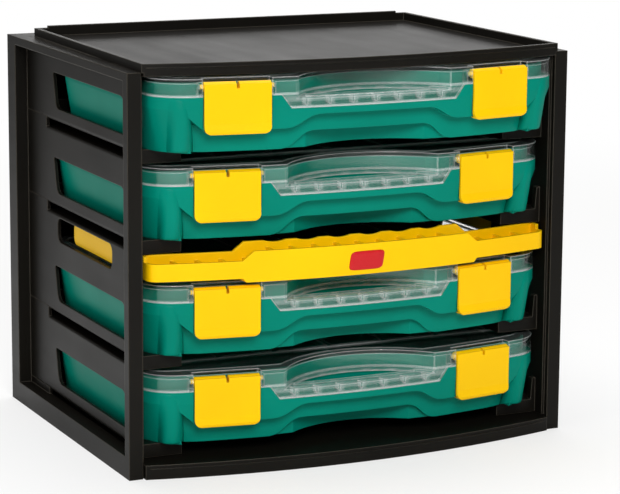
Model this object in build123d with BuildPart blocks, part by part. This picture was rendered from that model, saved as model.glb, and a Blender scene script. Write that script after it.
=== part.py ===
"""Open-front rack with four slide-in compartment cases and a pull-out carry handle.

Millimetres. +X is to the right, the front faces -Y and +Z is up. The origin lies on the floor,
midway between the side walls and midway between the post fronts and the back of the rack.
"""
import os
from math import asin, cos, sin, sqrt

from build123d import *

os.makedirs("parts", exist_ok=True)

# Cases: body
case_half_width = 153.5
case_depth = 212.0
case_height = 50.5
case_bow = 640.0            # plan curve of the front
corner_radius = 27.0
rear_radius = 22.0
case_wall = 2.2
floor_half_width = 149.0
floor_step = 3.0            # floor edge behind the front above it
floor_rear_inset = 5.0
floor_corner = 46.0         # wide front corners, so the front corners slope
floor_rear_corner = 18.0
slope_top = 30.0
front_recess = 9.0          # lower front behind the upper front band
lid_skirt = 12.3
rim_clearance = 0.3
rim_gap_top = 0.3
column_foot_x = 128.0       # corner columns beside the recessed front
band_foot_x = 121.0
band_foot = 15.4
band_shoulder_x = 142.0
band_shoulder = 33.0
arch_half_width = 66.0
arch_rise = 12.0
arch_blend = 26.0
band_arch_rise = 9.0        # band edge above its foot at the middle

# Cases: hand scoop and compartments
scoop_half_width = 60.0     # scoop at the front edge
scoop_depth = 33.0          # scoop's rear edge behind the apex
grip_wall = 3.0             # wall in front of the hand hole
grip_block = 8.0            # solid ends of the grip behind that wall
grip_half_width = 69.0
row_split = 119.0           # lengthwise wall behind the apex
partition = 2.0
divider = 1.6
divider_clearance = 0.2
divider_drop = 1.5          # divider top below the rim
ridge = 1.5

# Cases: lid
lid_wall = 2.0
lid_border = 6.0
lid_border_height = 1.0
lid_rib_pitch = 43.0
lid_rib_width = 4.0
lid_rib_pairs = 3
row_front = 52.0            # cross rib of the lid behind the apex
collar_clearance = 0.4
collar_wall = 1.6
ledge_drop = 13.5           # grip's top below the lid's top
ledge = 2.0
lip_half_width = 69.0
lip_drop = 9.2
lip_slant = 7.0
lip_rib = 1.2
lip_rib_pitch = 17.0
lip_rib_count = 7
lip_round = 3.0

# Cases: latches
latch_x = 99.3
latch_width = 46.0
latch_side_gap = 0.7
latch_plate = 2.2
latch_proud = 1.0
latch_corner = 5.0
toe_height = 7.0
toe_curl = 0.8
latch_head = 2.0            # plate top above the pivot
pivot_drop = 5.5            # pivot below the lid's top
pivot_inset = 3.0
knuckle_radius = 3.2
latch_pin_radius = 1.6
latch_pin_length = 2.2
pin_clearance = 0.1
pocket_wall = 1.5
pocket_gap = 0.1
cheek = 2.6
cheek_setback = 0.6
hook_reach = 2.8
hook_height = 2.0
hook_clearance = 0.3
latch_bed = 2.8             # recess in the front band behind a latch
notch_width = 2.0
notch_depth = 4.5

# Cases: lid hinge
hinge_x = 85.0
tongue_width = 16.0
ear_width = 5.0
ear_gap = 0.4
ear_height = 8.2            # ear below the base's upper edge
barrel_radius = 3.6
hinge_pin_radius = 1.8
hinge_behind = 4.2          # hinge axis behind the case
hinge_drop = 7.5            # hinge axis below the lid's top

# Rack: clearances around the cases
side_gap = 2.5              # lid edge to wall sheet
lid_clear = 2.0             # lid top to the rail above
lid_headroom = 1.0          # top lid to the top panel
case_reach = 16.0           # case apex in front of the posts
rear_space = 50.0           # case rear to the rack's back
pulled_out = 17.0           # the top case stands this far forward
rail_clear = 0.5            # bottom panel to the lowest rail

# Rack: side walls
bay_step = 1.0              # panel edge outside the wall sheet's inner face
post_overlap = 0.5
post_depth = 8.0
beam_width = 11.0           # top and bottom beams, and the rear flange
top_beam_height = 6.0
rear_flange_depth = 17.0
sheet = 2.5                 # wall sheet
rail_setback = 14.0         # rail ends behind the post fronts
shelf_bearing = 25.0        # rail under the case's floor
shelf = 2.0                 # skin of the folded rails
fold_gap = 5.5              # hollow of a rail, open to the outside
fold_rear = 188.0           # hollow's end behind the post fronts
fold_round = 3.5
fold_lower_round = 1.5
rail_stop = 3.0
rail_stop_height = 10.0
rail_stop_gap = 0.5         # stop behind the case
web = 5.0                   # web that closes a rail's front end
web_foot = 2.5              # web's inner edge outside the case's floor
web_lean = 2.0
web_rise = 16.0             # web top above the case's underside
window_low = 8.0            # window edges above the case's underside
window_high = 34.0
window_front = 30.0         # window ends behind the post fronts
window_rear = 173.0
window_slant = 6.0
window_corner = 8.0
window_edge = 2.0
slot_front = 55.0           # handle slot ends behind the post fronts
slot_rear = 166.0
slot_margin = 2.0           # wall left below the slot
slot_radius = 6.0

# Rack: panels
bow_radius = 645.0          # plan curve of the top and bottom front lips
lip_reach = 22.0            # lip apex in front of the posts
panel = 3.0
tray_floor = 2.5
tray_rim = 6.0              # tray rim above the side walls
tray_spread = 1.5           # rim's front corners outside the plate
tray_taper = 4.5            # rim's rear corners inside its front corners
back_rim_raise = 1.5
back_rim_end = 10.0
tray_rear_gap = 21.0        # tray rim in front of the rack's back
bottom_lip = 10.0
floor_rib = 2.0
floor_rib_pitch = 70.0
floor_rib_count = 3
back_inset = 3.0            # back panel in front of the rack's back
groove_depth = 4.0
groove_clearance = 0.15
tongue_length = 30.0
tongue_depth = 3.0
tongue_pitch = 85.0
tongue_thickness = 2.0

# Handle
handle_side_gap = 3.0       # handle to wall sheet
handle_bow = 20.0
bar_clearance = 0.7         # bar above the lid below it
bar_headroom = 4.0          # bar below the case above it
bar_height = 24.8
bar_depth = 20.0
bar_wall = 2.5
bar_step_low = 2.8          # bar ends above the grip's underside
arm_height = 15.5
grip_end = 90.0
grip_ramp = 8.0
grip_ramp_low = 2.5
front_drop = 3.5            # front wall below the rear wall
bar_corner = 9.0
bar_rib = 2.0
bar_rib_pitch = 16.5
bar_rib_pairs = 8
bar_rib_drop = 1.0          # ribs below the front wall
scallop_radius = 26.0
scallop_pitch = 24.0
scallop_depth = 1.3
scallop_count = 6
arm_thickness = 8.0
arm_wall = 2.0
arm_corner = 5.0
arm_rear = 146.0            # arm end behind the post fronts
stop_length = 10.0
stop_height = 10.0
stop_reach = 5.0
guide_wall = 2.5
guide_foot = 4.0
guide_gap = 0.3
guide_front = 24.0
guide_rear = 60.0

# Worked-out places: across and along
sheet_x = case_half_width + side_gap
sheet_out = sheet_x + sheet
bay_x = sheet_x + bay_step
wall_x = bay_x + beam_width
post_width = wall_x - sheet_out + post_overlap
handle_half_width = sheet_x - handle_side_gap
shelf_inner = floor_half_width - shelf_bearing
rack_depth = case_depth - case_reach + rear_space
front_y = -rack_depth / 2
back_y = rack_depth / 2
case_front_y = front_y - case_reach
case_rear_y = case_front_y + case_depth
hinge_y = case_rear_y + hinge_behind
floor_front_inset = front_recess + floor_step
hole_front = front_recess + grip_wall
grip_depth = hole_front + grip_block
wall_width = case_half_width - rim_clearance
rim_width = wall_width - lid_wall
inner_width = rim_width - case_wall
inner_front = front_recess + rim_clearance + case_wall
inner_rear = lid_wall + rim_clearance + case_wall
pocket_depth = front_recess - pocket_wall - pocket_gap

# Worked-out places: heights within a case
top_face = case_height - lid_border_height
lid_under = top_face - lid_wall
rim_top = lid_under - rim_gap_top
ledge_top = case_height - ledge_drop
grip_top = ledge_top - ledge - rim_gap_top
band_top = case_height - lid_skirt
hinge_height = case_height - hinge_drop
ear_foot = band_top - ear_height
pivot_height = case_height - pivot_drop
latch_foot = band_foot - hook_clearance - hook_height

# Worked-out places: heights of the rack
shelf_drop = 2 * shelf + fold_gap
case_pitch = case_height + lid_clear + shelf_drop
level_4 = bottom_lip + rail_clear + shelf_drop
level_3 = level_4 + case_pitch
bar_low = level_3 + case_height + bar_clearance
bar_high = bar_low + bar_height
arm_low = bar_low + bar_step_low
arm_high = arm_low + arm_height
level_2 = bar_high + bar_headroom
level_1 = level_2 + case_pitch
rail_levels = [level_4, level_3, level_2, level_1]
case_seats = {
    "case_1": (-pulled_out, level_1),
    "case_2": (0.0, level_2),
    "case_3": (0.0, level_3),
    "case_4": (0.0, level_4),
}
handle_shelf = level_2 - shelf_drop
tray_underside = level_1 + case_height + lid_headroom
wall_height = tray_underside + tray_floor
tongue_places = [(side, y) for side in (-1, 1) for y in (-tongue_pitch, 0, tongue_pitch)]


def arc_drop(x, radius):
    """How far a circle of this radius falls back at x from its apex."""
    return radius - sqrt(radius**2 - x**2)


def bowed_plan(plane, half_width, apex, radius, rear, taper=0.0):
    """Plan face with a bowed front, straight sides that may close in, and a straight rear."""
    shoulder = apex + arc_drop(half_width, radius)
    rear_half = half_width - taper
    with BuildSketch(plane) as plan:
        with BuildLine():
            ThreePointArc((-half_width, shoulder), (0, apex), (half_width, shoulder))
            Polyline(
                (half_width, shoulder), (rear_half, rear), (-rear_half, rear), (-half_width, shoulder)
            )
        make_face()
    return plan.sketch


def case_plan(plane, half_width, front_inset, rear_inset, front_round, rear_round):
    """Plan face of the case: the bowed plan with rounded corners."""
    outline = bowed_plan(
        Plane.XY, half_width, case_front_y + front_inset, case_bow - front_inset, case_rear_y - rear_inset
    )
    with BuildSketch(plane) as plan:
        add(outline)
        fillet(plan.vertices().sort_by(Axis.Y)[:2], front_round)
        fillet(plan.vertices().sort_by(Axis.Y)[-2:], rear_round)
    return plan.sketch


def scoop_plan(plane, grow):
    """Plan face of the hand scoop: an arc behind, open past the case's front, grown by a margin."""
    mouth = case_front_y + arc_drop(scoop_half_width, case_bow)
    ahead = case_front_y - hole_front
    with BuildSketch(plane) as plan:
        with BuildLine():
            ThreePointArc(
                (scoop_half_width, mouth), (0, case_front_y + scoop_depth), (-scoop_half_width, mouth)
            )
            Polyline(
                (-scoop_half_width, mouth), (-scoop_half_width, ahead),
                (scoop_half_width, ahead), (scoop_half_width, mouth),
            )
        make_face()
        if grow:
            offset(amount=grow)
    return plan.sketch


def hole_plan(plane, grow):
    """Plan face of the hand hole: the part of the scoop behind the grip, grown by a margin."""
    with BuildSketch(plane) as plan:
        add(scoop_plan(Plane.XY, 0))
        add(
            bowed_plan(
                Plane.XY, case_half_width, case_front_y + hole_front, case_bow - hole_front, case_rear_y
            ),
            mode=Mode.INTERSECT,
        )
        if grow:
            offset(amount=grow)
    return plan.sketch


def front_plane(dy, level):
    """Plane at a case's apex, seen from the front: local x is +X, local y is +Z."""
    return Plane((0, case_front_y + dy, level), x_dir=(1, 0, 0), z_dir=(0, -1, 0))


def arch_profile(plane, rise, foot):
    """Front-view face under the arch: flat top, S-curved ends that run out at the foot line."""
    half = arch_half_width
    flat = half - arch_blend
    bend = half - arch_blend / 2
    with BuildSketch(plane) as profile:
        with BuildLine():
            Polyline((-half, foot), (-half, foot - rise), (half, foot - rise), (half, foot))
            Spline(
                (half, foot), (bend, foot + rise / 2), (flat, foot + rise), tangents=((-1, 0), (-1, 0))
            )
            Line((flat, foot + rise), (-flat, foot + rise))
            Spline(
                (-flat, foot + rise), (-bend, foot + rise / 2), (-half, foot), tangents=((-1, 0), (-1, 0))
            )
        make_face()
    return profile.sketch


def lip_profile(plane, grow):
    """Front-view face of the lid's centre lip: a band with slanted ends, grown by a margin."""
    with BuildSketch(plane) as profile:
        with BuildLine():
            Polyline(
                (-lip_half_width - grow, band_top + rim_gap_top),
                (-lip_half_width - grow, band_top),
                (-lip_half_width + lip_slant - grow, band_top - lip_drop - grow),
                (lip_half_width - lip_slant + grow, band_top - lip_drop - grow),
                (lip_half_width + grow, band_top),
                (lip_half_width + grow, band_top + rim_gap_top),
                close=True,
            )
        make_face()
    return profile.sketch


def latch_planes(side, dy, level):
    """Planes through a latch's middle on the bowed front.

    In the side view local x is outward and local y is up; in the front view local y is up too.
    """
    turn = asin(latch_x / case_bow)
    outward = Vector(side * sin(turn), -cos(turn), 0)
    across = Vector(cos(turn), side * sin(turn), 0)
    up = Vector(0, 0, 1)
    origin = Vector(side * latch_x, case_front_y + arc_drop(latch_x, case_bow) + dy, level)
    side_view = Plane(origin, x_dir=outward, z_dir=outward.cross(up))
    front_view = Plane(origin, x_dir=across, z_dir=across.cross(up))
    return side_view, front_view


def finish(part, node):
    """Names a finished piece and writes its file."""
    part.label = node
    export_step(part, f"parts/{node}.step")


def side_wall(node, side):
    """Side wall: sheet folded into hollow rails, with windows, inside a rim of posts and beams."""
    def section(behind):
        return Plane((0, front_y + behind, 0), x_dir=(1, 0, 0), z_dir=(0, -1, 0))

    sheet_end = rack_depth - rear_flange_depth + sheet
    web_x = floor_half_width + web_foot
    outside = Plane((0, 0, 0), x_dir=(0, 1, 0), z_dir=(1, 0, 0))
    guide_x = handle_half_width - arm_thickness - guide_gap
    slot_low = level_3 + case_height + slot_margin
    rail_width = sheet_out - shelf_inner
    rail_x = side * (sheet_out - rail_width / 2)
    ceilings = rail_levels[1:] + [tray_underside + shelf_drop - shelf]
    sheet_foot = level_4 - shelf_drop

    def add_sheets():
        """Upright strips of the sheet between the rails, in the section's sketch."""
        for level, ceiling in zip(rail_levels, ceilings):
            foot = level - shelf
            head = ceiling - shelf_drop + shelf
            with Locations((side * (sheet_x + sheet / 2), (foot + head) / 2)):
                Rectangle(sheet, head - foot)

    with BuildPart() as wall:
        # Sheet folded into rails that are hollow from outside, with rounded fold edges
        with BuildSketch(section(rail_setback)) as folds:
            for level in rail_levels:
                with Locations((rail_x, level - shelf_drop / 2)):
                    Rectangle(rail_width, shelf_drop)
            add_sheets()
            for level in rail_levels:
                with Locations((side * sheet_out, level - shelf_drop / 2)):
                    Rectangle(2 * (rail_width - shelf), fold_gap, mode=Mode.SUBTRACT)
            outer = [v for v in folds.vertices() if abs(abs(v.X) - sheet_out) < post_overlap]
            uppers = [v for v in outer if min(abs(v.Y - z + shelf) for z in rail_levels) < post_overlap]
            fillet(uppers, fold_round)
            outer = [v for v in folds.vertices() if abs(abs(v.X) - sheet_out) < post_overlap]
            lowers = [
                v for v in outer
                if min(abs(v.Y - z + shelf_drop - shelf) for z in rail_levels[1:]) < post_overlap
            ]
            fillet(lowers, fold_lower_round)
        extrude(amount=rail_setback - sheet_end)
        # Closed front ends of the rails, and the sheet up to the front post
        with BuildSketch(section(rail_setback)):
            for level in rail_levels:
                with Locations((rail_x, level - shelf_drop / 2)):
                    Rectangle(rail_width, shelf_drop)
        extrude(amount=-shelf)
        with BuildSketch(section(post_depth / 2)):
            with Locations((side * (sheet_x + sheet / 2), (sheet_foot + tray_underside) / 2)):
                Rectangle(sheet, tray_underside - sheet_foot)
        extrude(amount=post_depth / 2 - rail_setback - shelf)
        # Closed rear ends of the hollows, and stops behind the cases
        with BuildSketch(section(fold_rear)):
            for level in rail_levels:
                with Locations((side * (sheet_x + sheet / 2), level - shelf_drop / 2)):
                    Rectangle(sheet, shelf_drop)
        extrude(amount=fold_rear - sheet_end)
        with BuildSketch(section(case_rear_y + rail_stop_gap - front_y)):
            for level in rail_levels:
                with Locations((rail_x, level - shelf)):
                    Rectangle(rail_width, rail_stop_height + shelf, align=(Align.CENTER, Align.MIN))
        extrude(amount=-rail_stop)
        # Webs that close the rails' front ends
        with BuildSketch(section(rail_setback)):
            for level in rail_levels:
                bed = level - shelf_drop
                with BuildLine():
                    Polyline(
                        (side * web_x, bed),
                        (side * (web_x + web_lean), level + web_rise),
                        (side * sheet_out, level + web_rise),
                        (side * sheet_out, bed),
                        close=True,
                    )
                make_face()
        extrude(amount=-web)
        # Handle guide: a rib with a foot that hangs from the shelf above the handle
        with BuildSketch(section(guide_front)):
            with BuildLine():
                Polyline(
                    (side * guide_x, handle_shelf),
                    (side * guide_x, arm_low - guide_gap),
                    (side * (guide_x + guide_foot), arm_low - guide_gap),
                    (side * (guide_x + guide_foot), bar_low),
                    (side * (guide_x - guide_wall), bar_low),
                    (side * (guide_x - guide_wall), handle_shelf),
                    close=True,
                )
            make_face()
        extrude(amount=guide_front - guide_rear)
        # Windows beside the cases
        with BuildSketch(outside) as windows:
            for level in rail_levels:
                with BuildLine():
                    Polyline(
                        (front_y + window_front, level + window_low),
                        (front_y + window_rear - window_slant, level + window_low),
                        (front_y + window_rear, level + window_high),
                        (front_y + window_front, level + window_high),
                        close=True,
                    )
                make_face()
            tops = [z + window_high for z in rail_levels]
            ends = windows.vertices()
            fronts = ends.group_by(Axis.X)[0]
            front_tops = [v for v in fronts if min(abs(v.Y - z) for z in tops) < window_edge]
            rear_feet = ends.group_by(Axis.X)[1]
            fillet(front_tops + rear_feet, window_corner)
            fillet(windows.vertices().group_by(Axis.X)[-1], window_edge)
        extrude(amount=side * wall_x, mode=Mode.SUBTRACT)
        # Slot beside the handle's arm
        with BuildSketch(outside.offset(side * sheet_x)):
            with Locations((front_y + (slot_front + slot_rear) / 2, (slot_low + handle_shelf) / 2)):
                RectangleRounded(slot_rear - slot_front, handle_shelf - slot_low, slot_radius)
        extrude(amount=side * beam_width, mode=Mode.SUBTRACT)
        # Rim: front post and rear flange, then the bottom and top beams
        with BuildSketch(Plane.XY):
            with Locations((side * (wall_x - post_width / 2), front_y + post_depth / 2)):
                Rectangle(post_width, post_depth)
            with Locations((side * (wall_x - beam_width / 2), back_y - rear_flange_depth / 2)):
                Rectangle(beam_width, rear_flange_depth)
        extrude(amount=wall_height)
        with BuildSketch(Plane.XY.offset(wall_height)):
            with Locations((side * (wall_x - beam_width / 2), post_depth / 2)):
                Rectangle(beam_width, rack_depth - post_depth)
        extrude(amount=-top_beam_height)
        with BuildSketch(Plane.XY):
            with Locations((side * (wall_x - beam_width / 2), post_depth / 2)):
                Rectangle(beam_width, rack_depth - post_depth)
        extrude(amount=level_4 - shelf_drop / 2)
        # Groove for the back panel and slots for the panel tongues
        groove_high = tray_underside + groove_clearance
        groove_low = bottom_lip - groove_clearance
        with Locations((side * bay_x, back_y - back_inset - panel / 2, (groove_low + groove_high) / 2)):
            Box(
                2 * groove_depth, panel + 2 * groove_clearance, groove_high - groove_low, mode=Mode.SUBTRACT
            )
        for height in (bottom_lip - panel / 2, wall_height - tray_floor / 2):
            for tongue_side, y in tongue_places:
                with Locations((tongue_side * bay_x, y, height)):
                    Box(
                        2 * (tongue_depth + groove_clearance),
                        tongue_length + 2 * groove_clearance,
                        tongue_thickness + 2 * groove_clearance,
                        mode=Mode.SUBTRACT,
                    )
    finish(wall.part, node)


def tub(seat, front_inset):
    """Outer form of a case with its front set back: sloped below, upright above."""
    with BuildPart() as form:
        loft(
            [
                case_plan(
                    seat, floor_half_width, front_inset + floor_step, floor_rear_inset,
                    floor_corner, floor_rear_corner,
                ),
                case_plan(seat.offset(slope_top), wall_width, front_inset, 0, corner_radius, rear_radius),
            ],
            ruled=True,
        )
        extrude(
            case_plan(seat.offset(slope_top), wall_width, front_inset, 0, corner_radius, rear_radius),
            amount=band_top - slope_top,
        )
    return form.part


def case_base(node, dy, level):
    """Tub: sloped body with a recessed lower front, hand hole, compartments and hinge ears."""
    seat = Plane((0, dy, level))
    view = front_plane(dy, level)
    apex = case_front_y + dy
    recess_reach = front_recess + corner_radius + arc_drop(band_shoulder_x, case_bow)

    with BuildPart() as recess:
        with BuildSketch(view):
            with BuildLine():
                Polyline(
                    (-column_foot_x, 0), (-band_shoulder_x, band_shoulder), (-band_foot_x, band_foot),
                    (band_foot_x, band_foot), (band_shoulder_x, band_shoulder), (column_foot_x, 0),
                    close=True,
                )
            make_face()
        extrude(amount=-recess_reach)
        extrude(arch_profile(view, band_arch_rise, band_foot), amount=-recess_reach)
        add(tub(seat, front_recess), mode=Mode.SUBTRACT)

    with BuildPart() as lip_bed:
        extrude(lip_profile(view, rim_clearance), amount=-recess_reach)
        extrude(
            case_plan(
                seat, wall_width, front_recess + rim_clearance, 0, corner_radius - lid_wall, rear_radius
            ),
            amount=case_height, mode=Mode.SUBTRACT,
        )

    with BuildPart() as cavity:
        loft(
            [
                case_plan(
                    seat.offset(case_wall), floor_half_width - case_wall, floor_front_inset + case_wall,
                    floor_rear_inset + case_wall, floor_corner - case_wall, floor_rear_corner,
                ),
                case_plan(
                    seat.offset(slope_top), inner_width, inner_front, inner_rear,
                    corner_radius - inner_rear, rear_radius - inner_rear,
                ),
            ],
            ruled=True,
        )
        extrude(
            case_plan(
                seat.offset(slope_top), inner_width, inner_front, inner_rear,
                corner_radius - inner_rear, rear_radius - inner_rear,
            ),
            amount=case_height - slope_top,
        )
        extrude(hole_plan(seat, case_wall), amount=case_height, mode=Mode.SUBTRACT)
        with Locations((0, apex + grip_depth / 2, level + case_height / 2)):
            Box(2 * grip_half_width, grip_depth, case_height, mode=Mode.SUBTRACT)
        with Locations((0, apex + row_split, level + case_height / 2)):
            Box(2 * case_half_width, partition, case_height, mode=Mode.SUBTRACT)
        # Ridges that hold the dividers, two on each facing wall
        ridge_x = divider / 2 + divider_clearance + ridge / 2
        rear_face = case_depth - floor_rear_inset - case_wall
        wall_faces = (
            scoop_depth + case_wall, row_split - partition / 2, row_split + partition / 2, rear_face
        )
        for behind in wall_faces:
            for x in (-ridge_x, ridge_x):
                with Locations((x, apex + behind, level + case_height / 2)):
                    Box(ridge, 2 * ridge, case_height, mode=Mode.SUBTRACT)

    with BuildPart() as base:
        add(tub(seat, 0))
        extrude(
            case_plan(
                seat.offset(band_top), rim_width, front_recess + rim_clearance, lid_wall + rim_clearance,
                corner_radius - lid_wall, rear_radius - lid_wall,
            ),
            amount=rim_top - band_top,
        )
        add(recess.part, mode=Mode.SUBTRACT)
        add(cavity.part, mode=Mode.SUBTRACT)
        # Hand hole through the case, and the finger arch that leads into it from below
        extrude(hole_plan(seat, 0), amount=case_height, mode=Mode.SUBTRACT)
        extrude(arch_profile(view, arch_rise, 0), amount=case_wall - grip_depth, mode=Mode.SUBTRACT)
        extrude(scoop_plan(seat.offset(grip_top), 0), amount=case_height, mode=Mode.SUBTRACT)
        # Beds in the front band for the lid's centre lip and for the latches
        add(lip_bed.part, mode=Mode.SUBTRACT)
        for side in (-1, 1):
            side_view, _ = latch_planes(side, dy, level)
            with BuildSketch(side_view):
                with Locations((-latch_bed, 0)):
                    Rectangle(2 * latch_bed, case_height, align=(Align.MIN, Align.MIN))
            extrude(amount=latch_width / 2 + latch_side_gap, both=True, mode=Mode.SUBTRACT)
        # Hinge ears on the rear wall
        ear_offset = tongue_width / 2 + ear_gap + ear_width / 2
        for x in [side * hinge_x + ear * ear_offset for side in (-1, 1) for ear in (-1, 1)]:
            with BuildSketch(Plane((x, dy, level), x_dir=(0, 1, 0), z_dir=(1, 0, 0))):
                with BuildLine():
                    Polyline(
                        (case_rear_y - case_wall, ear_foot),
                        (case_rear_y, ear_foot),
                        (hinge_y + barrel_radius, hinge_height),
                        (case_rear_y + ear_gap, hinge_height),
                        (case_rear_y + ear_gap, band_top - ear_gap),
                        (case_rear_y - case_wall, band_top - ear_gap),
                        close=True,
                    )
                make_face()
                with Locations((hinge_y, hinge_height)):
                    Circle(barrel_radius)
                    Circle(hinge_pin_radius + pin_clearance, mode=Mode.SUBTRACT)
            extrude(amount=ear_width / 2, both=True)
    finish(base.part, f"{node}_base")


def case_lid(node, dy, level):
    """Clear lid: skirt, bordered top, hand scoop, centre lip, latch pockets and hinge tongues."""
    seat = Plane((0, dy, level))
    view = front_plane(dy, level)
    inside_width = case_half_width - lid_wall
    inner_round = corner_radius - lid_wall
    pocket_half = latch_width / 2 + latch_side_gap
    pocket_back = pocket_depth + pocket_wall

    with BuildPart() as lip:
        extrude(lip_profile(view, 0), amount=-front_recess)
        extrude(
            case_plan(seat, case_half_width, 0, 0, corner_radius, rear_radius),
            amount=case_height, mode=Mode.INTERSECT,
        )
        extrude(
            case_plan(seat, inside_width, lid_wall, lid_wall, inner_round, rear_radius - lid_wall),
            amount=case_height, mode=Mode.SUBTRACT,
        )

    with BuildPart() as collar:
        extrude(
            scoop_plan(seat.offset(ledge_top - ledge), -collar_clearance),
            amount=case_height - ledge_top + ledge,
        )
        extrude(
            case_plan(seat, case_half_width, 0, 0, corner_radius, rear_radius),
            amount=case_height, mode=Mode.INTERSECT,
        )
        extrude(
            scoop_plan(seat, -collar_clearance - collar_wall), amount=case_height, mode=Mode.SUBTRACT
        )

    with BuildPart() as cover:
        add(lip.part)
        with BuildPart(mode=Mode.PRIVATE) as plate:
            extrude(
                case_plan(
                    seat.offset(ledge_top - ledge), case_half_width, 0, 0, corner_radius, rear_radius
                ),
                amount=ledge,
            )
            extrude(
                case_plan(
                    seat, case_half_width, hole_front - collar_clearance, 0, corner_radius, rear_radius
                ),
                amount=case_height, mode=Mode.SUBTRACT,
            )
        add(plate.part)
        extrude(scoop_plan(seat, -collar_clearance), amount=ledge_top, mode=Mode.INTERSECT)
        front_edges = [
            e for e in cover.edges().filter_by(GeomType.CIRCLE)
            if abs(e.radius - case_bow) < lid_wall / 2 and abs(e.center().Z - level - ledge_top) < ledge / 2
        ]
        fillet(front_edges, lip_round)

    with BuildPart() as lid:
        extrude(
            case_plan(seat.offset(band_top), case_half_width, 0, 0, corner_radius, rear_radius),
            amount=lid_skirt,
        )
        extrude(
            case_plan(
                seat.offset(band_top), inside_width, lid_wall, lid_wall, inner_round, rear_radius - lid_wall
            ),
            amount=lid_under - band_top, mode=Mode.SUBTRACT,
        )
        # Top face sunk between the border, the front-to-back ribs and the scoop's edge
        with BuildSketch(seat.offset(top_face)):
            add(
                case_plan(
                    Plane.XY, case_half_width - lid_border, pocket_back + lid_border, lid_border,
                    corner_radius - lid_border, rear_radius - lid_border,
                )
            )
            for count in range(-lid_rib_pairs, lid_rib_pairs + 1):
                with Locations((count * lid_rib_pitch, case_rear_y)):
                    Rectangle(lid_rib_width, 2 * (case_depth - row_front), mode=Mode.SUBTRACT)
            with Locations((0, case_front_y + row_front)):
                Rectangle(2 * case_half_width, lid_rib_width, mode=Mode.SUBTRACT)
            add(scoop_plan(Plane.XY, lid_border), mode=Mode.SUBTRACT)
        extrude(amount=lid_border_height, mode=Mode.SUBTRACT)
        # Hand scoop: a collar around it and a rounded cover over the grip
        add(lip.part)
        extrude(scoop_plan(seat, -collar_clearance), amount=case_height, mode=Mode.SUBTRACT)
        add(cover.part)
        add(collar.part)
        # Small ribs behind the centre lip
        rib_depth = front_recess - lid_wall
        rib_foot = band_top - lip_drop + lid_wall
        rib_head = ledge_top - ledge / 2
        for count in range(lip_rib_count):
            x = (count - (lip_rib_count - 1) / 2) * lip_rib_pitch
            rib_y = case_front_y + dy + arc_drop(x, case_bow) + lid_wall / 2 + rib_depth / 2
            with Locations((x, rib_y, level + (rib_foot + rib_head) / 2)):
                Box(lip_rib, rib_depth, rib_head - rib_foot)
        # Latch pockets: cut out, then a back wall and two cheeks with the pin holes
        for side in (-1, 1):
            side_view, _ = latch_planes(side, dy, level)
            with BuildSketch(side_view):
                with Locations((-pocket_depth, band_top - lid_wall)):
                    Rectangle(2 * pocket_depth, lid_skirt + 2 * lid_wall, align=(Align.MIN, Align.MIN))
            extrude(amount=pocket_half, both=True, mode=Mode.SUBTRACT)
            with BuildSketch(side_view):
                with Locations((-pocket_back, band_top)):
                    Rectangle(pocket_wall, top_face - band_top, align=(Align.MIN, Align.MIN))
            extrude(amount=pocket_half + cheek, both=True)
            for shift in (-pocket_half - cheek, pocket_half):
                with BuildSketch(side_view.offset(shift)):
                    with Locations((-pocket_back, band_top)):
                        Rectangle(
                            pocket_back - cheek_setback, top_face - band_top, align=(Align.MIN, Align.MIN)
                        )
                extrude(amount=cheek)
            with BuildSketch(side_view):
                with Locations((-pivot_inset, pivot_height)):
                    Circle(latch_pin_radius + pin_clearance)
            extrude(amount=pocket_half + latch_pin_length, both=True, mode=Mode.SUBTRACT)
        # Hinge tongues with moulded pins
        for x in (-hinge_x, hinge_x):
            hinge_plane = Plane((x, dy, level), x_dir=(0, 1, 0), z_dir=(1, 0, 0))
            with BuildSketch(hinge_plane):
                with BuildLine():
                    Polyline(
                        (case_rear_y - lid_wall / 2, hinge_height - lid_wall),
                        (hinge_y, hinge_height - barrel_radius),
                        (hinge_y, hinge_height + barrel_radius),
                        (case_rear_y - lid_wall / 2, top_face),
                        close=True,
                    )
                make_face()
                with Locations((hinge_y, hinge_height)):
                    Circle(barrel_radius)
            extrude(amount=tongue_width / 2, both=True)
            with BuildSketch(hinge_plane):
                with Locations((hinge_y, hinge_height)):
                    Circle(hinge_pin_radius)
            extrude(amount=tongue_width / 2 + ear_gap + ear_width, both=True)
    finish(lid.part, f"{node}_lid")


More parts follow.
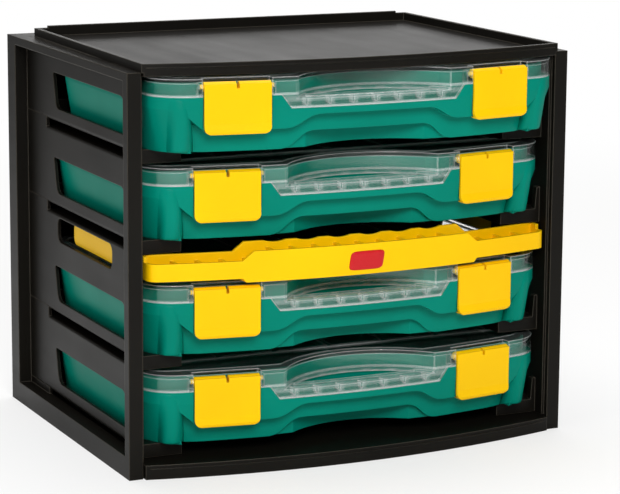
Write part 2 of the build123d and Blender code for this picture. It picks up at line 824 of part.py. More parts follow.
def case_latch(node, side, dy, level):
    """Latch: plate with a hooked, slightly curled toe, a knuckle with two stub pins and a top notch."""
    side_view, front_view = latch_planes(side, dy, level)
    outer = latch_proud
    inner = latch_proud - latch_plate
    head = pivot_height + knuckle_radius
    with BuildPart() as latch:
        with BuildSketch(side_view):
            with BuildLine():
                Polyline(
                    (inner - hook_reach, latch_foot + hook_height),
                    (inner - hook_reach, latch_foot),
                    (outer, latch_foot),
                    (outer + toe_curl, latch_foot + hook_height),
                    (outer, latch_foot + toe_height),
                    (outer, pivot_height + latch_head),
                    (-pivot_inset, pivot_height + latch_head),
                    (-pivot_inset, pivot_height),
                    (inner, pivot_height - knuckle_radius),
                    (inner, latch_foot + hook_height),
                    close=True,
                )
            make_face()
            with Locations((-pivot_inset, pivot_height)):
                Circle(knuckle_radius)
        extrude(amount=latch_width / 2, both=True)
        with BuildSketch(front_view) as face:
            with Locations((0, (latch_foot + head) / 2)):
                Rectangle(latch_width, head - latch_foot)
            fillet(face.vertices().group_by(Axis.Y)[0], latch_corner)
        extrude(amount=latch_width, both=True, mode=Mode.INTERSECT)
        with BuildSketch(side_view):
            with Locations((-pivot_inset, pivot_height)):
                Circle(latch_pin_radius)
        extrude(amount=latch_width / 2 + latch_pin_length, both=True)
        with BuildSketch(front_view):
            with Locations((0, head)):
                Rectangle(notch_width, 2 * notch_depth)
        extrude(amount=latch_width, both=True, mode=Mode.SUBTRACT)
    finish(latch.part, node)


def case_dividers(node, dy, level):
    """Removable cross dividers, one in each row of compartments."""
    apex = case_front_y
    low = case_wall + divider_clearance
    high = rim_top - divider_drop
    row_1 = (apex + scoop_depth + case_wall, apex + row_split - partition / 2)
    row_2_front = apex + row_split + partition / 2 + divider_clearance
    row_2_low = case_rear_y - floor_rear_inset - case_wall - divider_clearance
    row_2_high = case_rear_y - inner_rear - divider_clearance
    with BuildPart() as dividers:
        with BuildSketch(Plane((0, dy, level), x_dir=(0, 1, 0), z_dir=(1, 0, 0))):
            with BuildLine():
                Polyline(
                    (row_1[0] + divider_clearance, low), (row_1[1] - divider_clearance, low),
                    (row_1[1] - divider_clearance, high), (row_1[0] + divider_clearance, high), close=True,
                )
            make_face()
            with BuildLine():
                Polyline(
                    (row_2_front, low), (row_2_low, low), (row_2_high, slope_top), (row_2_high, high),
                    (row_2_front, high), close=True,
                )
            make_face()
        extrude(amount=divider / 2, both=True)
    finish(dividers.part, f"{node}_dividers")


def add_tongues(height):
    """Tongues on both side edges of a panel that seat in the side walls' slots."""
    for side, y in tongue_places:
        with Locations((side * bay_x, y, height)):
            Box(2 * tongue_depth, tongue_length, tongue_thickness)


for wall_node, wall_side in (("side_wall_left", -1), ("side_wall_right", 1)):
    side_wall(wall_node, wall_side)

for case_name, (case_dy, case_level) in case_seats.items():
    case_base(case_name, case_dy, case_level)
    case_lid(case_name, case_dy, case_level)
    case_latch(f"{case_name}_latch_left", -1, case_dy, case_level)
    case_latch(f"{case_name}_latch_right", 1, case_dy, case_level)
    case_dividers(case_name, case_dy, case_level)

# Top panel: plate with a tray rim and a bowed front lip
lip_apex = front_y - lip_reach
rim_x = bay_x + tray_spread
rim_rear = back_y - tray_rear_gap
with BuildPart() as top_panel:
    extrude(
        bowed_plan(Plane.XY.offset(tray_underside), bay_x, lip_apex, bow_radius, back_y), amount=tray_floor
    )
    extrude(
        bowed_plan(
            Plane.XY.offset(wall_height), rim_x, lip_apex, bow_radius, rim_rear, tray_taper
        ),
        amount=tray_rim,
    )
    extrude(
        bowed_plan(
            Plane.XY.offset(wall_height), rim_x - panel, lip_apex + panel, bow_radius - panel,
            rim_rear - panel, tray_taper,
        ),
        amount=tray_rim, mode=Mode.SUBTRACT,
    )
    with Locations((0, rim_rear - panel / 2, wall_height + tray_rim)):
        Box(2 * (rim_x - tray_taper - back_rim_end), panel, 2 * back_rim_raise)
    add_tongues(wall_height - tray_floor / 2)
finish(top_panel.part, "top_panel")

# Bottom panel: plate on a skirt with ribs below and a bowed front lip
with BuildPart() as bottom_panel:
    extrude(bowed_plan(Plane.XY, bay_x, lip_apex, bow_radius, back_y), amount=bottom_lip)
    extrude(
        bowed_plan(Plane.XY, bay_x - panel, lip_apex + panel, bow_radius - panel, back_y - panel),
        amount=bottom_lip - panel, mode=Mode.SUBTRACT,
    )
    with BuildSketch(Plane.XY.offset(bottom_lip - panel)):
        with GridLocations(floor_rib_pitch, 0, floor_rib_count, 1):
            Rectangle(floor_rib, rack_depth - panel)
    extrude(amount=panel - bottom_lip)
    add_tongues(bottom_lip - panel / 2)
finish(bottom_panel.part, "bottom_panel")

# Back panel: plain plate in the side walls' grooves
with BuildPart() as back_panel:
    with Locations((0, back_y - back_inset - panel / 2, (bottom_lip + tray_underside) / 2)):
        Box(2 * (bay_x + groove_depth - groove_clearance), panel, tray_underside - bottom_lip)
finish(back_panel.part, "back_panel")

# Carry handle: bowed bar with an open ribbed channel, and two channelled arms with stops
bar_radius = (handle_half_width**2 + handle_bow**2) / (2 * handle_bow)
bar_apex = front_y - handle_bow


def bar_plan(plane, front, rear):
    """Plan face of the bowed bar between two depths behind its front curve."""
    with BuildSketch(plane) as plan:
        with BuildLine():
            ThreePointArc(
                (-handle_half_width, front_y + front),
                (0, bar_apex + front),
                (handle_half_width, front_y + front),
            )
            Line((handle_half_width, front_y + front), (handle_half_width, front_y + rear))
            ThreePointArc(
                (handle_half_width, front_y + rear),
                (0, bar_apex + rear),
                (-handle_half_width, front_y + rear),
            )
            Line((-handle_half_width, front_y + rear), (-handle_half_width, front_y + front))
        make_face()
    return plan.sketch


def bar_view(behind):
    """Front-view plane behind the bar's apex."""
    return Plane((0, bar_apex + behind, 0), x_dir=(1, 0, 0), z_dir=(0, -1, 0))


with BuildPart() as front_trim:
    extrude(bar_plan(Plane.XY.offset(bar_low), 0, bar_depth / 2), amount=bar_height)
    with BuildSketch(bar_view(0)):
        with BuildLine():
            Polyline(
                (-wall_x, bar_high), (-wall_x, arm_high - front_drop), (-grip_end, arm_high - front_drop),
                (grip_ramp - grip_end, bar_high - front_drop),
                (grip_end - grip_ramp, bar_high - front_drop),
                (grip_end, arm_high - front_drop), (wall_x, arm_high - front_drop), (wall_x, bar_high),
                close=True,
            )
        make_face()
    extrude(amount=-(handle_bow + bar_depth), mode=Mode.INTERSECT)

with BuildPart() as carry_handle:
    with BuildSketch(Plane.XY.offset(bar_low)) as bar_outline:
        add(bar_plan(Plane.XY, 0, bar_depth))
        fillet([v for v in bar_outline.vertices() if abs(v.Y - front_y) < bar_wall], bar_corner)
    extrude(amount=bar_height)
    with BuildSketch(bar_view(0)):
        with BuildLine():
            Polyline(
                (-wall_x, arm_low), (-grip_end, arm_low), (grip_ramp_low - grip_end, bar_low),
                (grip_end - grip_ramp_low, bar_low), (grip_end, arm_low), (wall_x, arm_low),
                (wall_x, arm_high), (grip_end, arm_high), (grip_end - grip_ramp, bar_high),
                (grip_ramp - grip_end, bar_high), (-grip_end, arm_high), (-wall_x, arm_high),
                close=True,
            )
        make_face()
    extrude(amount=-(handle_bow + bar_depth), mode=Mode.INTERSECT)
    with BuildSketch(Plane.XY.offset(arm_low + bar_wall)):
        add(bar_outline.sketch_local)
        offset(amount=-bar_wall, mode=Mode.REPLACE)
    extrude(amount=bar_height, mode=Mode.SUBTRACT)
    add(front_trim.part, mode=Mode.SUBTRACT)
    # Finger scallops along the rear wall's upper edge
    with BuildSketch(bar_view(bar_depth / 2)):
        with Locations((0, bar_high - scallop_depth + scallop_radius)):
            with GridLocations(scallop_pitch, 0, scallop_count, 1):
                Circle(scallop_radius)
    extrude(amount=-bar_depth, mode=Mode.SUBTRACT)
    # Cross ribs in the channel
    for count in range(-bar_rib_pairs, bar_rib_pairs + 1):
        x = count * bar_rib_pitch
        rib_y = bar_apex + arc_drop(x, bar_radius) + bar_depth / 2
        rib_top = (bar_high if abs(x) < grip_end - grip_ramp else arm_high) - front_drop - bar_rib_drop
        with Locations((x, rib_y, (arm_low + rib_top) / 2)):
            Box(bar_rib, bar_depth - bar_wall, rib_top - arm_low)
    # Arms: channels open at the top, with a stop that meets the wall's guide
    for side in (-1, 1):
        arm_side = Plane(
            (side * (handle_half_width - arm_thickness / 2), 0, 0), x_dir=(0, 1, 0), z_dir=(1, 0, 0)
        )
        arm_front = front_y + bar_depth - bar_wall
        arm_end = front_y + arm_rear
        with BuildSketch(arm_side) as arm:
            with Locations((arm_front, arm_low)):
                Rectangle(arm_end - arm_front, arm_height, align=(Align.MIN, Align.MIN))
            fillet(arm.vertices().group_by(Axis.X)[-1], arm_corner)
        extrude(amount=arm_thickness / 2, both=True)
        with BuildSketch(arm_side):
            with Locations((arm_front + bar_wall, arm_low + arm_wall)):
                Rectangle(
                    arm_end - arm_corner - arm_front - bar_wall, arm_height, align=(Align.MIN, Align.MIN)
                )
        extrude(amount=arm_thickness / 2 - arm_wall, both=True, mode=Mode.SUBTRACT)
        stop_x = side * (handle_half_width - arm_thickness - (stop_reach - arm_wall) / 2)
        with Locations((stop_x, arm_end - arm_corner - stop_length / 2, arm_low + stop_height / 2)):
            Box(stop_reach + arm_wall, stop_length, stop_height)
finish(carry_handle.part, "carry_handle")
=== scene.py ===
"""Looks of the case rack: moulded plastics, clear lids and small rounded pieces, lit as in a studio."""
import math

import bmesh
import bpy
import numpy as np
from mathutils import Matrix, Vector


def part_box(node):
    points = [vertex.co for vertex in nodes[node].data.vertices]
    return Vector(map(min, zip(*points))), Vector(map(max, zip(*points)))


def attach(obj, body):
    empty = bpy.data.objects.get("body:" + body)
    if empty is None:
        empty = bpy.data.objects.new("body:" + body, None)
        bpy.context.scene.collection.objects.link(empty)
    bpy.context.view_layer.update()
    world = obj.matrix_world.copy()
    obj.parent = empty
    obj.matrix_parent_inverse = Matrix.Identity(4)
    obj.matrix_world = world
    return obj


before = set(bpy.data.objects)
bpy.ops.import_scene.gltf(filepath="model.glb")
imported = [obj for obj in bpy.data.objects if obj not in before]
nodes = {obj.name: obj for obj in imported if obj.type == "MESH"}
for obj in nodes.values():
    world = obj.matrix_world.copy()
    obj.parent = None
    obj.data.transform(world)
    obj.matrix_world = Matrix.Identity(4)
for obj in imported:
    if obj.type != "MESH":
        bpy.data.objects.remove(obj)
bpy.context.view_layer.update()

CASES = ("case_1", "case_2", "case_3", "case_4")
SIDES = {"left": -1, "right": 1}
MM = 0.001
WHITE = (1.0, 1.0, 1.0, 1.0)

# Camera: where it stands and how it looks, from the rack's corners in the photograph
CAMERA_AT = (-764.6 * MM, -1669.6 * MM, 492.8 * MM)
CAMERA_TURN = math.radians(-25.28)
CAMERA_FALL = math.radians(10.54)
CAMERA_ROLL = math.radians(0.40)
SENSOR_WIDTH = 36.0
LENS = 147.07
LENS_DROP = -0.054
SIGHT = 60.0

# Lamps: place, aim, width and height in metres, and watts
SOFTBOXES = {
    "front_softbox": ((-0.55, -1.9, 1.25), (0.0, 0.0, 0.12), 0.9, 0.7, 33),
    "top_softbox": ((0.1, 0.35, 1.6), (0.0, 0.0, 0.2), 1.4, 1.0, 18),
    "left_softbox": ((-1.8, -0.6, 0.9), (-0.1, 0.0, 0.15), 0.7, 0.9, 6),
    "rear_softbox": ((1.0, 2.2, 0.62), (0.0, 0.0, 0.28), 1.8, 0.5, 5),
}

# Light of the world on the rack
WORLD_COLOUR = (1.0, 0.985, 0.955, 1.0)
WORLD_STRENGTH = 0.24

# Floor: its reach from the middle, the share of plain white near the rack, and where that grows to all of it
FLOOR_REACH = 12.0
FLOOR_WHITE = 0.60
FLOOR_FADE_MIDDLE = 0.95
FLOOR_FADE_HALF = 0.55

# Carry handle's bar: its front curve, and the plain plate on its middle
BAR_FRONT = -143.0 * MM
BAR_RADIUS = 595.2 * MM
BADGE_LEVEL = 143.0 * MM
BADGE_HALF_WIDTH = 13.0 * MM
BADGE_HALF_HEIGHT = 6.6 * MM
BADGE_LEAN = 0.16
BADGE_THICKNESS = 0.9 * MM
BADGE_RINGS = 18
BADGE_TURNS = 96

# Front lips of the top and bottom panels: their plan curve, and each bead's level and half length
LIP_FRONT = -145.0 * MM
LIP_RADIUS = 645.0 * MM
LIP_BEADS = {"tray_lip_bead": (281.2 * MM, 157.0 * MM), "floor_lip_bead": (7.4 * MM, 155.0 * MM)}
BEAD_RADIUS = 0.6 * MM
BEAD_ROWS = 121
BEAD_TURNS = 16

# A case's front when it is pushed home, and its sloping front corner: sizes at the case's underside, how
# each changes with the height, and the height from which the corner is upright
CASE_FRONT = -138.835 * MM
CASE_HALF_WIDTH = 149.0 * MM
CASE_HALF_WIDTH_SLOPE = 4.5 / 38.0
CORNER_RADIUS = 46.0 * MM
CORNER_RADIUS_SLOPE = -0.75
CORNER_CENTRE = -81.2 * MM
CORNER_CENTRE_SLOPE = -0.66
CORNER_SLOPE_END = 30.0 * MM

# Rounded column on that corner: its place and half widths at the foot, and what each gains up to the head
COLUMN_FOOT = 0.2 * MM
COLUMN_HEIGHT = 37.8 * MM
COLUMN_MIDDLE = 135.6 * MM
COLUMN_MIDDLE_GAIN = 3.4 * MM
COLUMN_INNER = 9.2 * MM
COLUMN_INNER_GAIN = 0.3 * MM
COLUMN_OUTER = 10.5 * MM
COLUMN_OUTER_GAIN = 0.5 * MM

# How far the column stands out of the corner, how deep it is rooted, and how it is rounded
COLUMN_SWELL = 5.0 * MM
COLUMN_SWELL_FADE = 0.9
COLUMN_PROUD = 0.25 * MM
COLUMN_ROOT = 0.6 * MM
COLUMN_ROOT_GAIN = 7.4 * MM
COLUMN_ROOT_START = 0.1
COLUMN_POWER = 2.4
COLUMN_END = 0.04
COLUMN_ROWS = 41
COLUMN_STEPS = 49

# Bands on a lid by their heights over its case's underside, and the centre lip's half width and ribs
LID_TOP = 50.0 * MM
SKIRT_EDGE = (37.8 * MM, 39.6 * MM)
CENTRE_LIP_EDGE = (28.6 * MM, 30.4 * MM)
CENTRE_LIP_NOSE = (33.4 * MM, 36.9 * MM)
CENTRE_LIP_FACE = (30.4 * MM, 37.0 * MM)
CENTRE_LIP_HALF_WIDTH = 62.0 * MM
RIB_PITCH = 17.0 * MM

# How milky a lid is all over, and what its parts and marks add to that; the shares on rounded edges, on the
# skirt and lip edges and on the lip's nose are partly milky plastic and partly painted highlight
MILK = 0.002
MILK_TOP = 0.07
MILK_RUBBED_AND_HIGHLIT = 0.42
MILK_EDGE_AND_HIGHLIGHT = 0.24
MILK_NOSE_AND_HIGHLIGHT = 0.11
MILK_RIB = 0.10
MILK_CLOUD = 0.010
MILK_SCUFF = 0.012

# Share of light that a lid mirrors when seen straight on, and what a slant adds by its fifth power
SHINE = 0.035
SHINE_SLANT = 0.90

# Refraction of the moulded plastics and of the lids
PLASTIC_IOR = 1.36
LID_IOR = 1.49

# Sockets of a Mix node that mixes colours
MIX_SHARE, MIX_FIRST, MIX_SECOND, MIX_COLOUR = 0, 6, 7, 2


class Value:
    """A shader value that adds Math nodes when it is used in an expression."""

    def __init__(self, finish, socket):
        self.finish = finish
        self.socket = socket

    def math(self, operation, *others):
        """A Math node of that operation with this value first."""
        values = dict(enumerate((self, *others)))
        return self.finish.add("ShaderNodeMath", {"operation": operation}, values)

    def __add__(self, other):
        return self.math("ADD", other)

    def __mul__(self, other):
        return self.math("MULTIPLY", other)

    def __sub__(self, other):
        return self.math("SUBTRACT", other)

    def __rsub__(self, other):
        return self.finish.add("ShaderNodeMath", {"operation": "SUBTRACT"}, {0: other, 1: self})

    __radd__ = __add__
    __rmul__ = __mul__

    def above(self, edge, soft):
        """0 below the edge and 1 above it, with a soft step."""
        return self.finish.add(
            "ShaderNodeMapRange",
            {"interpolation_type": "SMOOTHSTEP"},
            {"Value": self, "From Min": edge - soft, "From Max": edge + soft},
        )

    def within(self, low, high, soft):
        """1 between two edges and 0 outside them."""
        return self.above(low, soft) * (1 - self.above(high, soft))


class Finish:
    """The node tree of a material or of the world."""

    def __init__(self, holder):
        holder.use_nodes = True
        self.tree = holder.node_tree
        self.tree.nodes.clear()

    def add(self, kind, settings, values, output=0):
        """Adds a node: its settings first, then the values or links of its sockets."""
        node = self.tree.nodes.new(kind)
        for name, setting in settings.items():
            setattr(node, name, setting)
        for name, value in values.items():
            if isinstance(value, Value):
                self.tree.links.new(value.socket, node.inputs[name])
            else:
                node.inputs[name].default_value = value
        return Value(self, node.outputs[output]) if node.outputs else None

    def place(self):
        """Object coordinates, in metres."""
        return self.add("ShaderNodeTexCoord", {}, {}, "Object")

    def axes(self):
        """The three object coordinates as separate values."""
        split = self.add("ShaderNodeSeparateXYZ", {}, {"Vector": self.place()})
        return [Value(self, output) for output in split.socket.node.outputs]

    def noise(self, scale, detail, stretch=(1.0, 1.0, 1.0)):
        """Noise in object space, drawn out along an axis by a small stretch."""
        spread = self.add(
            "ShaderNodeVectorMath", {"operation": "MULTIPLY"}, {0: self.place(), 1: stretch}
        )
        return self.add(
            "ShaderNodeTexNoise", {}, {"Vector": spread, "Scale": scale, "Detail": detail, "Roughness": 0.5}
        )

    def tint(self, share, first, second):
        """Mixes two colours by a share."""
        values = {MIX_SHARE: share, MIX_FIRST: first, MIX_SECOND: second}
        return self.add("ShaderNodeMix", {"data_type": "RGBA"}, values, MIX_COLOUR)

    def rounded(self, radius):
        """Normals as if the edges were rounded by this radius."""
        return self.add("ShaderNodeBevel", {"samples": 6}, {"Radius": radius})

    def edge_wear_and_highlight(self, soft_normal):
        """1 on edges, where the rounded normal leaves the flat one, and 0 elsewhere."""
        flat = self.add("ShaderNodeNewGeometry", {}, {}, "Normal")
        level = self.add(
            "ShaderNodeVectorMath", {"operation": "DOT_PRODUCT"}, {0: soft_normal, 1: flat}, "Value"
        )
        return (1 - level).above(0.09, 0.08)

    def seen(self):
        """1 for what the camera sees straight away, and 0 for bounced light."""
        return self.add("ShaderNodeLightPath", {}, {}, "Is Camera Ray")

    def blend(self, share, first, second):
        """Mixes two shaders by a share."""
        return self.add("ShaderNodeMixShader", {}, {0: share, 1: first, 2: second})


def rgb(red, green, blue):
    """A colour from 0 to 255 values as the eye sees them, in linear light."""
    def linear(value):
        share = value / 255
        return share / 12.92 if share <= 0.04045 else ((share + 0.055) / 1.055) ** 2.4

    return (linear(red), linear(green), linear(blue), 1.0)


def moulded(name, colour, shaded, edge, roughness, grain, depth, edge_radius, gloss):
    """Moulded plastic: cloudy colour, fine grain, faint flow streaks, and rounded edges lightened partly as
    rubbed wear and partly as painted highlight.
    """
    material = bpy.data.materials.new(name)
    finish = Finish(material)
    cloud = finish.noise(scale=14.0, detail=3.0)
    fine = finish.noise(scale=grain, detail=2.0)
    streak = finish.noise(scale=60.0, detail=2.0, stretch=(1.0, 0.12, 1.0))
    soft = finish.rounded(edge_radius)
    # Rounded edges get the lighter edge colour: partly rubbed wear, partly painted highlight
    rub_and_highlight = finish.edge_wear_and_highlight(soft)
    body = finish.tint(cloud.above(0.5, 0.22) * 0.6 + streak * 0.25, colour, shaded)
    bump = finish.add(
        "ShaderNodeBump", {}, {"Strength": 0.35, "Distance": depth, "Height": fine, "Normal": soft}
    )
    plastic = finish.add(
        "ShaderNodeBsdfPrincipled",
        {},
        {
            "Base Color": finish.tint(rub_and_highlight * 0.55, body, edge),
            "Roughness": roughness + (cloud - 0.5) * 0.12 + (streak - 0.5) * 0.10 + (fine - 0.5) * 0.08,
            "Normal": bump,
            "IOR": PLASTIC_IOR,
            "Specular IOR Level": gloss,
        },
    )
    finish.add("ShaderNodeOutputMaterial", {}, {"Surface": plastic})
    return material


def clear_lid(name, level):
    """Clear moulded lid: see-through, glossy at a slant, milky on its border, ribs and edges; the milk on
    its edges and on the centre lip's nose is partly painted highlight.
    """
    material = bpy.data.materials.new(name)
    finish = Finish(material)
    x, _, z = finish.axes()

    def band(heights, fade):
        """1 between two heights over the case's underside, fading out past them."""
        low, high = heights
        return z.within(level + low, level + high, fade)

    soft = finish.rounded(0.9 * MM)
    # Rounded edges turn milky: partly thick plastic, partly painted highlight
    rub_and_highlight = finish.edge_wear_and_highlight(finish.rounded(1.7 * MM))
    cloud = finish.noise(scale=22.0, detail=3.0)
    scuff = finish.noise(scale=120.0, detail=3.0, stretch=(0.12, 1.0, 1.0)).above(0.60, 0.06)
    raised = z.above(level + LID_TOP, 0.25 * MM)
    # Skirt and lip edges and the lip's nose turn milky: partly thick plastic, partly painted highlight
    edges = band(SKIRT_EDGE, 0.4 * MM) + band(CENTRE_LIP_EDGE, 0.4 * MM)
    nose_milk_and_highlight = band(CENTRE_LIP_NOSE, 0.8 * MM)
    rib = (x * (1 / RIB_PITCH)).math("PINGPONG", 0.5).within(-0.1, 0.17, 0.03)
    middle = x.within(-CENTRE_LIP_HALF_WIDTH, CENTRE_LIP_HALF_WIDTH, 0.5 * MM)
    lip = band(CENTRE_LIP_FACE, 0.4 * MM) * middle
    thick_and_highlit = edges * MILK_EDGE_AND_HIGHLIGHT + nose_milk_and_highlight * MILK_NOSE_AND_HIGHLIGHT + lip * rib * MILK_RIB
    marks = cloud * MILK_CLOUD + scuff * MILK_SCUFF
    milk_and_highlight = MILK + raised * MILK_TOP + rub_and_highlight * MILK_RUBBED_AND_HIGHLIT + thick_and_highlit + marks
    through = finish.add("ShaderNodeBsdfTransparent", {}, {"Color": (0.94, 0.97, 0.96, 1.0)})
    haze = finish.add(
        "ShaderNodeBsdfPrincipled",
        {},
        {
            "Base Color": finish.tint(cloud, (0.84, 0.88, 0.87, 1.0), (0.70, 0.75, 0.74, 1.0)),
            "Roughness": 0.22 + cloud * 0.15,
            "Normal": soft,
            "IOR": LID_IOR,
        },
    )
    mirror = finish.add(
        "ShaderNodeBsdfGlossy", {}, {"Color": WHITE, "Roughness": 0.06 + scuff * 0.10, "Normal": soft}
    )
    slant = finish.add("ShaderNodeLayerWeight", {}, {"Blend": 0.5, "Normal": soft}, "Facing")
    shine = SHINE + SHINE_SLANT * slant.math("POWER", 5.0)
    lid = finish.blend(shine, finish.blend(milk_and_highlight, through, haze), mirror)
    finish.add("ShaderNodeOutputMaterial", {}, {"Surface": lid})
    return material


def pale_floor():
    """White floor that keeps the rack's soft shadow and turns plain white far from it."""
    material = bpy.data.materials.new("pale_floor")
    finish = Finish(material)
    cloud = finish.noise(scale=2.0, detail=2.0)
    base = finish.tint(cloud, (0.95, 0.95, 0.95, 1.0), (0.93, 0.93, 0.93, 1.0))
    matt = finish.add(
        "ShaderNodeBsdfPrincipled", {}, {"Base Color": base, "Roughness": 0.85, "Specular IOR Level": 0.1}
    )
    lift = finish.add("ShaderNodeEmission", {}, {"Color": WHITE, "Strength": 1.0})
    away = finish.add("ShaderNodeVectorMath", {"operation": "LENGTH"}, {0: finish.place()}, "Value")
    plain = FLOOR_WHITE + (1 - FLOOR_WHITE) * away.above(FLOOR_FADE_MIDDLE, FLOOR_FADE_HALF)
    share = finish.seen() * plain
    finish.add("ShaderNodeOutputMaterial", {}, {"Surface": finish.blend(share, matt, lift)})
    return material


def studio():
    """World that lights the rack dimly and is white where the camera sees it."""
    world = bpy.data.worlds.new("studio")
    finish = Finish(world)
    dim = finish.add("ShaderNodeBackground", {}, {"Color": WORLD_COLOUR, "Strength": WORLD_STRENGTH})
    plain = finish.add("ShaderNodeBackground", {}, {"Color": WHITE, "Strength": 1.0})
    finish.add("ShaderNodeOutputWorld", {}, {"Surface": finish.blend(finish.seen(), dim, plain)})
    return world


def surface(name, points, faces, material, body, slot):
    """Makes a smooth closed piece from arrays of points and faces and lets it ride on a body."""
    mesh = bpy.data.meshes.new(name)
    mesh.from_pydata(points.tolist(), [], faces.tolist())
    shell = bmesh.new()
    shell.from_mesh(mesh)
    bmesh.ops.remove_doubles(shell, verts=shell.verts, dist=0.001 * MM)
    bmesh.ops.dissolve_degenerate(shell, edges=shell.edges, dist=0.001 * MM)
    bmesh.ops.recalc_face_normals(shell, faces=shell.faces)
    shell.to_mesh(mesh)
    shell.free()
    mesh.shade_smooth()
    mesh.materials.append(material)
    piece = bpy.data.objects.new(name, mesh)
    bpy.context.scene.collection.objects.link(piece)
    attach(piece, body)


def ring_faces(rows, turns):
    """Four-cornered faces between neighbouring rows of a grid whose rows close into rings."""
    index = np.arange(rows * turns).reshape(rows, turns)
    after = np.roll(index, -1, axis=1)
    corners = (index[:-1], index[1:], after[1:], after[:-1])
    return np.stack([corner.ravel() for corner in corners], axis=1)


def badge_plate():
    """Plate bent to the bar's bow.

    On a grid of ring r and angle a its outline is the superellipse |x|^6 + |z|^6 = 1, scaled to the half
    sizes and leaned by x + lean * z. It stands out from the bar by thickness * sqrt(1 - r^12), so its
    face is flat and its rim rolls back into the bar, whose front is the circle of radius BAR_RADIUS. A
    shallow cone inside the bar closes it.
    """
    ring = np.linspace(0.0, 1.0, BADGE_RINGS + 1)[1:, None] ** 0.5
    angle = np.linspace(0.0, 2 * np.pi, BADGE_TURNS, endpoint=False)[None, :]
    across = np.sign(np.cos(angle)) * np.abs(np.cos(angle)) ** (1 / 3)
    upright = np.sign(np.sin(angle)) * np.abs(np.sin(angle)) ** (1 / 3)
    z = BADGE_HALF_HEIGHT * ring * upright
    x = BADGE_HALF_WIDTH * ring * across + BADGE_LEAN * z
    stand = BADGE_THICKNESS * np.sqrt(np.clip(1 - ring**12, 0, 1)) + 0 * angle
    y = BAR_FRONT + BAR_RADIUS - np.sqrt(BAR_RADIUS**2 - x**2) - stand
    grid = np.stack((x, y, z + BADGE_LEVEL), axis=-1).reshape(-1, 3)
    centres = np.array(
        [
            [0.0, BAR_FRONT - BADGE_THICKNESS, BADGE_LEVEL],
            [0.0, BAR_FRONT + BADGE_THICKNESS / 4, BADGE_LEVEL],
        ]
    )
    rows, turns = x.shape
    hub = np.full(turns, rows * turns)
    first = np.arange(turns)
    last = first + (rows - 1) * turns
    quads = ring_faces(rows, turns)
    faces = np.concatenate(
        (
            np.stack((hub, first, np.roll(first, -1)), axis=1),
            np.stack((hub + 1, np.roll(last, -1), last), axis=1),
            quads[:, [0, 1, 2]],
            quads[:, [0, 2, 3]],
        )
    )
    return np.concatenate((grid, centres)), faces


def lip_bead(level, half_width):
    """Round bead along a bowed front lip, half sunk into it.

    On a grid of the place x along the lip and the angle a round the bead, the middle line is the lip's
    circle of radius LIP_RADIUS. A point stands from it by r * sin(a) along the lip's outward normal and by
    r * cos(a) upward, with r = BEAD_RADIUS * sqrt(1 - s^20), so that the bead runs out to a point at
    s = -1 and 1, where s is x over the half width.
    """
    s = np.linspace(-1.0, 1.0, BEAD_ROWS)[:, None]
    angle = np.linspace(0.0, 2 * np.pi, BEAD_TURNS, endpoint=False)[None, :]
    x = half_width * s
    depth = np.sqrt(LIP_RADIUS**2 - x**2)
    size = BEAD_RADIUS * np.sqrt(1 - s**20)
    out = size * np.sin(angle)
    px = x + out * x / LIP_RADIUS
    py = LIP_FRONT + LIP_RADIUS - depth - out * depth / LIP_RADIUS
    pz = level + size * np.cos(angle)
    return np.stack((px, py, pz), axis=-1).reshape(-1, 3), ring_faces(*px.shape)


def corner_column(level, shift, side):
    """Rounded column on a case's sloping front corner.

    The corner is a cone up to CORNER_SLOPE_END, and upright above that: in plan it is a circle whose radius
    R shrinks with the height, about a point that moves with it. On a grid of the height share h and the
    place s across the column, the front stands at R - root + (root + swell) * c * k from that point and the
    back at R - root. There c is (1 - |s|^p)^(1/p) towards the case's middle, with p = COLUMN_POWER, and
    cos(pi s / 2)^2 towards its side. k rounds foot and head by a quarter ellipse, the swell fades out
    towards the lid, and the root grows by a smooth step towards the middle, where the recessed front lies
    behind the cone.
    """
    h = np.linspace(0.0, 1.0, COLUMN_ROWS)[:, None]
    s = np.linspace(-1.0, 1.0, COLUMN_STEPS)[None, :]
    z = COLUMN_FOOT + COLUMN_HEIGHT * h
    sloped = np.minimum(z, CORNER_SLOPE_END)
    radius = CORNER_RADIUS + CORNER_RADIUS_SLOPE * sloped
    centre_x = CASE_HALF_WIDTH + CASE_HALF_WIDTH_SLOPE * sloped - radius
    centre_y = CORNER_CENTRE + CORNER_CENTRE_SLOPE * sloped
    middle = np.arcsin((COLUMN_MIDDLE + COLUMN_MIDDLE_GAIN * h - centre_x) / radius)
    inner = COLUMN_INNER + COLUMN_INNER_GAIN * h
    outer = COLUMN_OUTER + COLUMN_OUTER_GAIN * h
    turn = middle + s * np.where(s < 0.0, inner, outer) / radius
    towards_middle = (1.0 - np.abs(s) ** COLUMN_POWER) ** (1 / COLUMN_POWER)
    across = np.where(s < 0.0, towards_middle, np.cos(np.pi * s / 2) ** 2)
    ends = np.clip(np.minimum(h, 1.0 - h) / COLUMN_END, 0.0, 1.0)
    rounding = across * np.sqrt(1.0 - (1.0 - ends) ** 2)
    inward = np.clip(COLUMN_ROOT_START - s, 0.0, 1.0)
    root = COLUMN_ROOT + COLUMN_ROOT_GAIN * inward**2 * (3.0 - 2.0 * inward)
    swell = COLUMN_PROUD + COLUMN_SWELL * (1.0 - h) ** COLUMN_SWELL_FADE
    front = radius - root + (root + swell) * rounding
    back = radius - root
    reach = np.concatenate((front, back[:, -2:0:-1]), axis=1)
    turn = np.concatenate((turn, turn[:, -2:0:-1]), axis=1)
    x = side * (centre_x + reach * np.sin(turn))
    y = centre_y - reach * np.cos(turn) + shift
    points = np.stack((x, y, level + z + 0 * x), axis=-1).reshape(-1, 3)
    return points, ring_faces(*x.shape)


def dress(material, *names):
    """Gives CAD nodes one material."""
    for name in names:
        slots = nodes[name].data.materials
        slots.clear()
        slots.append(material)


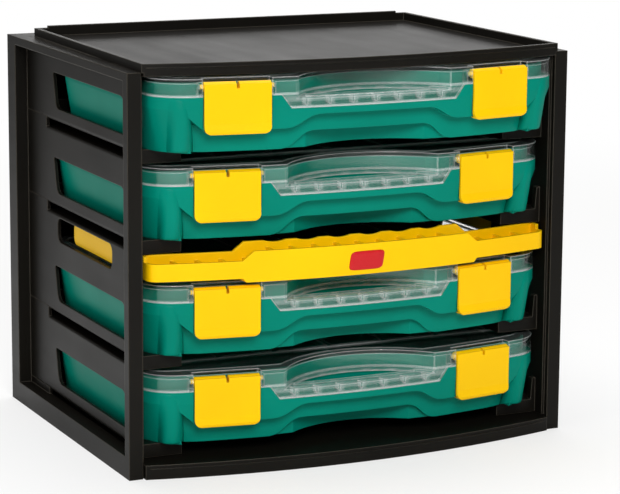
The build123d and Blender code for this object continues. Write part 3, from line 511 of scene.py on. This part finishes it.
def softbox(name, place, aim, width, height, watts):
    """A rectangular lamp that points at a place."""
    lamp = bpy.data.lights.new(name, "AREA")
    lamp.shape = "RECTANGLE"
    lamp.size = width
    lamp.size_y = height
    lamp.energy = watts
    holder = bpy.data.objects.new(name, lamp)
    holder.location = place
    holder.rotation_euler = (Vector(aim) - Vector(place)).to_track_quat("-Z", "Y").to_euler()
    holder.visible_camera = False
    bpy.context.scene.collection.objects.link(holder)


def photo_camera():
    """The camera, turned about the upright, tipped down and rolled a little."""
    lens = bpy.data.cameras.new("photo_camera")
    lens.sensor_width = SENSOR_WIDTH
    lens.lens = LENS
    lens.shift_y = LENS_DROP
    lens.clip_end = SIGHT
    forward = Vector(
        (
            -math.sin(CAMERA_TURN) * math.cos(CAMERA_FALL),
            math.cos(CAMERA_TURN) * math.cos(CAMERA_FALL),
            -math.sin(CAMERA_FALL),
        )
    )
    right = Vector((math.cos(CAMERA_TURN), math.sin(CAMERA_TURN), 0.0))
    up = right.cross(forward)
    rolled = math.cos(CAMERA_ROLL) * right + math.sin(CAMERA_ROLL) * up
    upright = math.cos(CAMERA_ROLL) * up - math.sin(CAMERA_ROLL) * right
    turned = Matrix((rolled, upright, -forward)).transposed().to_4x4()
    camera = bpy.data.objects.new("photo_camera", lens)
    camera.matrix_world = Matrix.Translation(CAMERA_AT) @ turned
    bpy.context.scene.collection.objects.link(camera)
    bpy.context.scene.camera = camera


# Edge colours: lighter on rounded edges, partly rubbed wear and partly painted highlight
rack_black = moulded(
    "rack_black",
    colour=rgb(19, 17, 13),
    shaded=rgb(14, 12, 9),
    edge=rgb(100, 94, 83),
    roughness=0.40,
    grain=2600.0,
    depth=0.10 * MM,
    edge_radius=1.0 * MM,
    gloss=0.22,
)
case_green = moulded(
    "case_green",
    colour=rgb(0, 131, 112),
    shaded=rgb(0, 119, 101),
    edge=rgb(30, 160, 140),
    roughness=0.36,
    grain=1800.0,
    depth=0.04 * MM,
    edge_radius=0.8 * MM,
    gloss=0.09,
)
bright_yellow = moulded(
    "bright_yellow",
    colour=rgb(250, 200, 0),
    shaded=rgb(243, 189, 0),
    edge=rgb(255, 219, 50),
    roughness=0.38,
    grain=1800.0,
    depth=0.04 * MM,
    edge_radius=0.7 * MM,
    gloss=0.20,
)
badge_red = moulded(
    "badge_red",
    colour=rgb(200, 30, 36),
    shaded=rgb(186, 24, 30),
    edge=rgb(222, 84, 84),
    roughness=0.28,
    grain=1800.0,
    depth=0.02 * MM,
    edge_radius=0.3 * MM,
    gloss=0.40,
)

# Rack and handle
dress(rack_black, "side_wall_left", "side_wall_right", "top_panel", "bottom_panel", "back_panel")
dress(bright_yellow, "carry_handle")

# Cases and their corner columns
for case in CASES:
    case_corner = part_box(f"{case}_base")[0]
    dress(case_green, f"{case}_base", f"{case}_dividers")
    dress(bright_yellow, f"{case}_latch_left", f"{case}_latch_right")
    dress(clear_lid(f"{case}_lid_clear", case_corner.z), f"{case}_lid")
    for side, direction in SIDES.items():
        column = corner_column(case_corner.z, case_corner.y - CASE_FRONT, direction)
        surface(f"{case}_column_{side}", *column, case_green, case, "green")

# Plate on the handle and beads on the rack's front lips
surface("badge_plate", *badge_plate(), badge_red, "handle", "yellow")
for bead, (bead_level, bead_half_width) in LIP_BEADS.items():
    surface(bead, *lip_bead(bead_level, bead_half_width), rack_black, "rack", "rack")

# Stage: floor, world, lamps and camera
floor_corners = [(x * FLOOR_REACH, y * FLOOR_REACH, 0.0) for x, y in ((-1, -1), (1, -1), (1, 1), (-1, 1))]
floor_mesh = bpy.data.meshes.new("floor")
floor_mesh.from_pydata(floor_corners, [], [(0, 1, 2, 3)])
floor_mesh.materials.append(pale_floor())
floor = bpy.data.objects.new("floor", floor_mesh)
bpy.context.scene.collection.objects.link(floor)
bpy.context.scene.world = studio()
for lamp_name, settings in SOFTBOXES.items():
    softbox(lamp_name, *settings)
photo_camera()
bpy.context.scene.view_settings.view_transform = "Standard"
